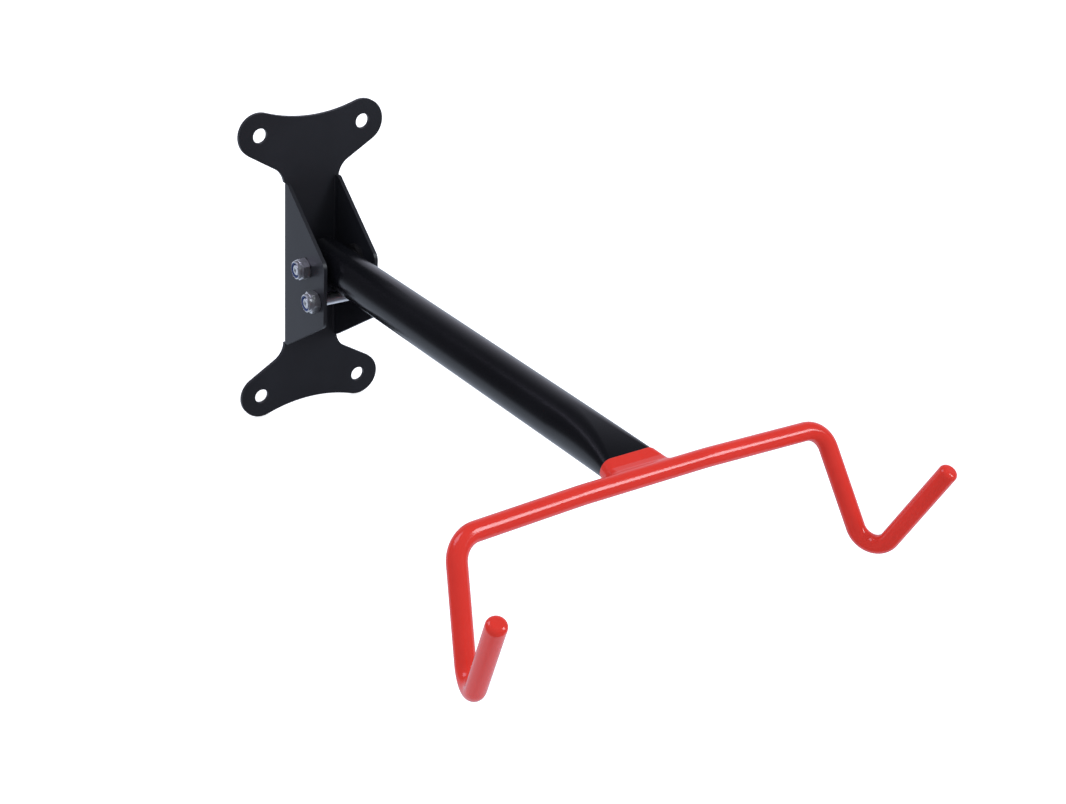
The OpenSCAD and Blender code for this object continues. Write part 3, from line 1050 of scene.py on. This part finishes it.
def lay_table():
    z = cad_box[0].z - TABLE_DROP
    mesh = bpy.data.meshes.new("table")
    corners = [(-1, -1), (1, -1), (1, 1), (-1, 1)]
    mesh.from_pydata([(x * TABLE_HALF, y * TABLE_HALF, z) for x, y in corners], [], [(0, 1, 2, 3)])
    table = bpy.data.objects.new("table", mesh)
    bpy.context.scene.collection.objects.link(table)
    table.visible_glossy = False

    material = bpy.data.materials.new("table")
    material.use_nodes = True
    tree = material.node_tree
    matt = tree.nodes["Principled BSDF"]
    fill_inputs(tree, matt, Base_Color=(0.8, 0.8, 0.82, 1), Roughness=0.9, Specular_IOR_Level=0.0)
    glow = add_node(tree, "ShaderNodeEmission", Color=(1, 1, 1, 1), Strength=TABLE_GLOW)
    lit = join_shaders(tree, "ShaderNodeAddShader", matt.outputs["BSDF"], glow.outputs["Emission"])
    seen = add_node(tree, "ShaderNodeLightPath")
    shown = join_shaders(
        tree, "ShaderNodeMixShader", seen.outputs["Is Camera Ray"], matt.outputs["BSDF"], lit
    )
    fill_inputs(tree, tree.nodes["Material Output"], Surface=shown)
    mesh.materials.append(material)
    print("table at z =", round(z / MM, 2), "mm")


lay_table()


# %% Hang the lamps
def softbox(name, azimuth, elevation, wide, tall, radiance, colour, distance=3.0):
    """A rectangle of light, placed and sized in degrees as seen from the crossbar.

    The azimuth is counted from straight ahead of the wall to the right, and a
    radiance of 1 is as bright as white.
    """
    side, rise = math.radians(azimuth), math.radians(elevation)
    away = Vector((math.sin(side) * math.cos(rise), -math.cos(side) * math.cos(rise), math.sin(rise)))
    lamp = bpy.data.lights.new(name, "AREA")
    lamp.shape = "RECTANGLE"
    lamp.size = 2 * distance * math.tan(math.radians(wide / 2))
    lamp.size_y = 2 * distance * math.tan(math.radians(tall / 2))
    lamp.energy = radiance * math.pi * lamp.size * lamp.size_y
    lamp.color = colour
    holder = bpy.data.objects.new(name, lamp)
    bpy.context.scene.collection.objects.link(holder)
    turn = away.to_track_quat("Z", "Y").to_matrix().to_4x4()
    holder.matrix_world = Matrix.Translation(Vector((0, BAR_Y, ARM_Z)) + away * distance) @ turn
    print(f"{name}: {lamp.size:.2f} x {lamp.size_y:.2f} m, {lamp.energy:.0f} W")


softbox(
    "right softbox", azimuth=40.5, elevation=35, wide=13, tall=32,
    radiance=9.2, colour=(0.88, 0.94, 1.0),
)
softbox(
    "overhead softbox", azimuth=-132, elevation=53, wide=26, tall=30,
    radiance=3.2, colour=(0.80, 0.78, 1.0),
)


# %% Set the room
EVEN_LIGHT = (0.92, 0.95, 1.0, 1)
EVEN_STRENGTH = 0.75
DARK_FRONT = (0.06, 0.06, 0.075, 1)
PALE_WALL = (0.84, 0.85, 1.0, 1)
PALE_GROUND = (0.62, 0.69, 0.82, 1)
WALL_FADE = (0.2, 0.9)
GROUND_FADE = (0.27, 0.37)
HORIZON = (-0.12, 0.12)


def ramp(tree, source, limits, kind="SMOOTHSTEP"):
    """Turns the stretch between two limits into a share from 0 to 1."""
    node = add_node(
        tree, "ShaderNodeMapRange", {"interpolation_type": kind},
        Value=source, From_Min=limits[0], From_Max=limits[1],
    )
    return node.outputs["Result"]


def blend(tree, share, first, second):
    node = add_node(
        tree, "ShaderNodeMix", {"data_type": "RGBA"}, Factor=share, A=first, B=second
    )
    return node.outputs["Result"]


def mirrored_room(tree):
    """The colour of the room by direction: pale behind the rack and below, dark in front."""
    place = add_node(tree, "ShaderNodeTexCoord")
    split = add_node(tree, "ShaderNodeSeparateXYZ", Vector=place.outputs["Generated"])
    away = add_node(tree, "ShaderNodeVectorMath", {"operation": "DOT_PRODUCT"})
    tree.links.new(place.outputs["Generated"], away.inputs[0])
    away.inputs[1].default_value = -back
    depth = away.outputs["Value"]
    wall = blend(tree, ramp(tree, depth, WALL_FADE, "LINEAR"), DARK_FRONT, PALE_WALL)
    ground = blend(tree, ramp(tree, depth, GROUND_FADE), DARK_FRONT, PALE_GROUND)
    return blend(tree, ramp(tree, split.outputs["Z"], HORIZON), ground, wall)


def set_room():
    """White to the eye, even and mild as a lamp, and the pale and dark room to glossy paint."""
    world = bpy.data.worlds.new("room")
    world.use_nodes = True
    bpy.context.scene.world = world
    tree = world.node_tree
    even = tree.nodes["Background"]
    fill_inputs(tree, even, Color=EVEN_LIGHT, Strength=EVEN_STRENGTH)
    white = add_node(tree, "ShaderNodeBackground", Color=(1, 1, 1, 1), Strength=1.0)
    around = add_node(tree, "ShaderNodeBackground", Color=mirrored_room(tree), Strength=1.0)
    seen = add_node(tree, "ShaderNodeLightPath").outputs
    bent = calculate(tree, "MAXIMUM", seen["Is Glossy Ray"], seen["Is Transmission Ray"])
    unseen = join_shaders(
        tree, "ShaderNodeMixShader", bent, even.outputs["Background"], around.outputs["Background"]
    )
    shown = join_shaders(
        tree, "ShaderNodeMixShader", seen["Is Camera Ray"], unseen, white.outputs["Background"]
    )
    fill_inputs(tree, tree.nodes["World Output"], Surface=shown)
    print(f"{world.name}: even light of {EVEN_STRENGTH}, {len(tree.nodes)} nodes")


set_room()
bpy.context.scene.view_settings.view_transform = "Standard"
